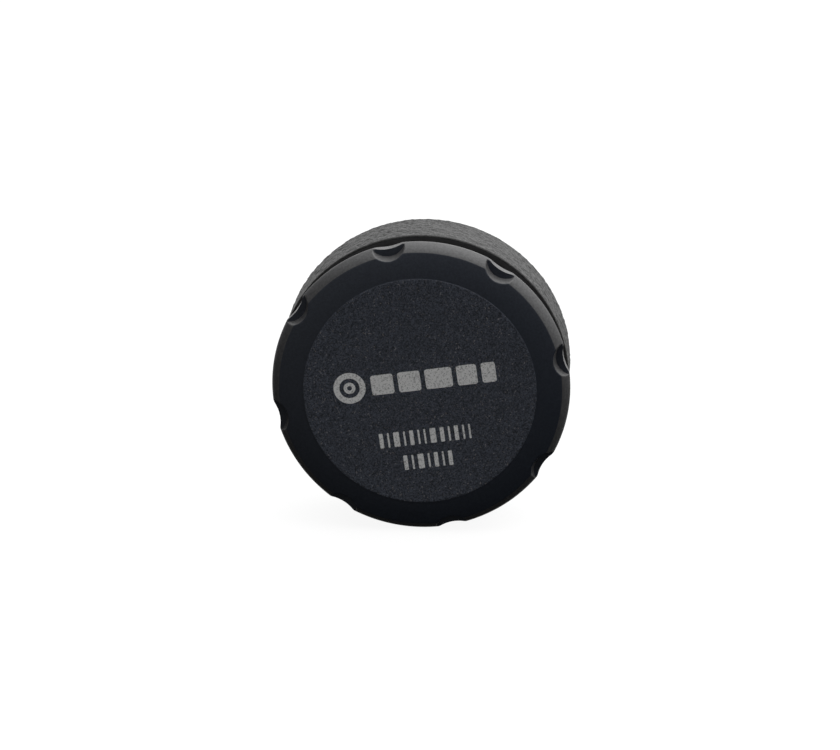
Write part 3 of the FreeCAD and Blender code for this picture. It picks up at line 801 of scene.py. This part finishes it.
def build_stage():
    """Pale floor under the part and a dome around both."""
    bpy.ops.mesh.primitive_circle_add(vertices=128, radius=STAGE_R, fill_type="NGON",
                                      location=(0, 0, -CAP_R * MM - FLOOR_GAP))
    floor = bpy.context.object
    floor.name = "floor"
    floor.data.materials.append(white_material("floor_white", 0.91, 0.12))
    bpy.ops.mesh.primitive_uv_sphere_add(segments=96, ring_count=48, radius=STAGE_R - 0.01)
    dome = bpy.context.object
    dome.name = "backdrop"
    dome.data.materials.append(white_material("backdrop_white", 1.1, 0.0))
    for obj in (floor, dome):
        camera_only(obj)


# Soft lights of the studio, as (direction, strength): a backdrop behind, a box above, two boxes to the
# right of it, and two weak fills in front. Each fades out where the cosine to its direction is 0.6.
LIGHTS = [
    ((0.0, 1.0, 0.15), 1.61),
    ((0.0, 0.10, 1.0), 2.25),
    ((0.55, 0.45, 0.75), 1.10),
    ((0.75, 0.0, 0.65), 1.23),
    ((0.0, -1.0, 0.10), 0.11),
    ((-0.75, -0.65, 0.20), 0.23),
]
AMBIENT = 0.02
LIGHT_EDGE = 0.6


def build_world():
    """World light: the ambient level and the soft lights added up by direction."""
    world = bpy.data.worlds.new("studio")
    bpy.context.scene.world = world
    world.use_nodes = True
    tree = world.node_tree
    coord = tree.nodes.new("ShaderNodeTexCoord")
    total = None
    for direction, strength in LIGHTS:
        dot = tree.nodes.new("ShaderNodeVectorMath")
        dot.operation = "DOT_PRODUCT"
        dot.inputs[1].default_value = Vector(direction).normalized()
        tree.links.new(coord.outputs["Generated"], dot.inputs[0])
        light = span(tree, dot.outputs["Value"], 0.0, strength, LIGHT_EDGE, 1.0)
        add = tree.nodes.new("ShaderNodeMath")
        add.operation = "ADD"
        tree.links.new(light, add.inputs[0])
        if total is None:
            add.inputs[1].default_value = AMBIENT
        else:
            tree.links.new(total, add.inputs[1])
        total = add.outputs["Value"]
    tree.links.new(total, tree.nodes["Background"].inputs["Strength"])
    tree.nodes["Background"].inputs["Color"].default_value = (1, 1, 1, 1)


def build_camera():
    """Camera that looks at the cap from the photo's direction."""
    level = math.cos(CAMERA_ELEVATION)
    away = Vector((math.sin(CAMERA_AZIMUTH) * level, -math.cos(CAMERA_AZIMUTH) * level,
                   math.sin(CAMERA_ELEVATION)))
    turn = (-away).to_track_quat("-Z", "Y")
    right, up = turn @ Vector((1, 0, 0)), turn @ Vector((0, 1, 0))
    target = Vector((0, -LENGTH * MM, 0)) + right * CAMERA_RIGHT + up * CAMERA_UP
    data = bpy.data.cameras.new("camera")
    data.lens, data.sensor_width = LENS_MM, SENSOR_MM
    data.clip_start, data.clip_end = 0.01, 8 * STAGE_R
    cam = bpy.data.objects.new("camera", data)
    cam.rotation_mode = "QUATERNION"
    cam.rotation_quaternion = turn
    cam.location = target + away * CAMERA_DISTANCE
    bpy.context.scene.collection.objects.link(cam)
    bpy.context.scene.camera = cam


build_cap()
build_marks()
build_housing()
build_insert()
dress_nodes()
build_stage()
build_world()
build_camera()
bpy.context.scene.view_settings.view_transform = "Standard"

bpy.context.view_layer.update()
